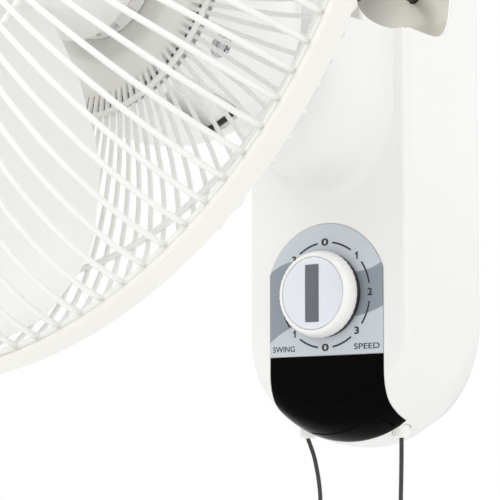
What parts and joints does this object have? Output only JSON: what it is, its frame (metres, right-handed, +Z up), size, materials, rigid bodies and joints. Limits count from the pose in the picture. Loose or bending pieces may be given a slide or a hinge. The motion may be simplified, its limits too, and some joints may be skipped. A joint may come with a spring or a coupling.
{
  "type": "wall fan",
  "caption": "Wall mounted fan: round wire guard on a tilting, swinging motor head, carried by a tall rounded base with a rotary dial and pull cords.",
  "frame": {"origin": "middle of the wall bracket's rear face, which lies on the wall", "axes": "+Z up, +Y into the wall, -Y out into the room along the fan's reach, +X to the right seen from the front"},
  "size_m": [0.4322, 0.4476, 0.5937],
  "materials": {
    "white_gloss": "gloss white moulded plastic",
    "cream_plastic": "satin cream moulded plastic",
    "blade_plastic": "satin white moulded plastic",
    "coated_wire": "steel wire with a white powder coat",
    "black_gloss": "polished black plastic",
    "label": "printed pale grey foil, satin",
    "silver_face": "silver lacquered plastic",
    "grey_plastic": "dark grey plastic inlay",
    "zinc_steel": "zinc plated steel",
    "dark_steel": "blackened steel",
    "cast_alloy": "die-cast aluminium, as cast",
    "copper": null,
    "bronze": "sintered bronze",
    "black_plastic": "black moulded plastic",
    "black_rubber": "black rubber",
    "brown_rubber": "dark brown cable sheath",
    "braid": "black braided cord"
  },
  "bodies": {
    "base": {"wall_bracket": "zinc_steel", "back_plate": "cream_plastic", "back_plate_screw_1": "zinc_steel", "back_plate_screw_2": "zinc_steel", "cable_grommet": "black_rubber", "base_housing": "white_gloss", "bottom_trim": "black_gloss", "dial_label": "label", "motor_lead": "brown_rubber", "rotary_switch": "black_plastic", "swing_switch": "black_plastic", "swing_switch_carrier": "cream_plastic", "lever_post": "cream_plastic", "capacitor": "black_plastic", "terminal_block": "cream_plastic", "speed_bush": "white_gloss", "swing_bush": "white_gloss", "speed_spring": "zinc_steel", "swing_spring": "zinc_steel", "hinge_pin": "dark_steel"},
    "neck": {"neck_bracket": "white_gloss", "yaw_pin": "zinc_steel", "oscillation_link": "zinc_steel"},
    "head": {"gearbox_case": "cast_alloy", "motor_cover": "white_gloss", "motor_shield": "cast_alloy", "motor_rear_bell": "cast_alloy", "stator_core": "dark_steel", "winding_rear": "copper", "winding_front": "copper", "front_bearing": "bronze", "rear_bearing": "bronze", "cover_screw_1": "zinc_steel", "cover_screw_2": "zinc_steel", "cover_screw_3": "zinc_steel", "cover_screw_4": "zinc_steel", "rear_guard": "coated_wire", "guard_nut": "white_gloss", "front_guard": "coated_wire", "centre_badge": "white_gloss", "clamp_band": "cream_plastic", "band_screw": "zinc_steel"},
    "rotor": {"motor_shaft": "zinc_steel", "rotor_core": "dark_steel", "fan_blades": "blade_plastic", "spinner": "white_gloss"},
    "crank": {"worm_wheel": "bronze", "crank": "zinc_steel"},
    "knob": {"knob": "white_gloss", "knob_cap": "silver_face", "knob_pointer": "grey_plastic", "switch_spindle": "bronze"},
    "speed_pull": {"speed_rod": "cream_plastic", "speed_cord": "braid", "speed_handle": "white_gloss"},
    "swing_pull": {"swing_rod": "cream_plastic", "swing_cord": "braid", "swing_handle": "white_gloss"},
    "speed_lever": {"speed_lever": "cream_plastic"}
  },
  "joints": [
    {"name": "tilt", "type": "hinge", "parent": "base", "child": "neck", "pos_m": [0, -0.132, 0.103], "axis": [1, 0, 0], "range_deg": [-17, 15]},
    {"name": "swing", "type": "hinge", "parent": "neck", "child": "head", "pos_m": [0, -0.19142, 0.11135], "axis": [0, 0.1392, 0.9903], "range_deg": [-40, 40]},
    {"name": "blade_spin", "type": "hinge", "parent": "head", "child": "rotor", "pos_m": [0, -0.28633, 0.08268], "axis": [0, -0.9903, 0.1392], "continuous": true},
    {"name": "crank_turn", "type": "hinge", "parent": "head", "child": "crank", "pos_m": [0.0123, -0.22295, 0.07377], "axis": [0, 0.1392, 0.9903], "continuous": true},
    {"name": "knob_turn", "type": "hinge", "parent": "base", "child": "knob", "pos_m": [0, -0.09, -0.06], "axis": [0, -1, 0], "continuous": true},
    {"name": "speed_slide", "type": "slide", "parent": "base", "child": "speed_pull", "axis": [0, 0, -1], "range_m": [0, 0.016], "stiffness_N_per_m": 300, "springref_m": -0.004, "deforming": ["speed_spring"]},
    {"name": "swing_slide", "type": "slide", "parent": "base", "child": "swing_pull", "axis": [0, 0, -1], "range_m": [0, 0.016], "stiffness_N_per_m": 300, "springref_m": -0.004, "deforming": ["swing_spring"]},
    {"name": "speed_lever_turn", "type": "hinge", "parent": "base", "child": "speed_lever", "pos_m": [0.006, -0.0571, -0.087], "axis": [0, 1, 0], "range_deg": [-1, 36]}
  ],
  "couplings": [
    {"joint": "crank_turn", "follows": "blade_spin", "ratio": -0.029412},
    {"joint": "speed_lever_turn", "follows": "speed_slide", "rad_per_m": 37.04}
  ]
}
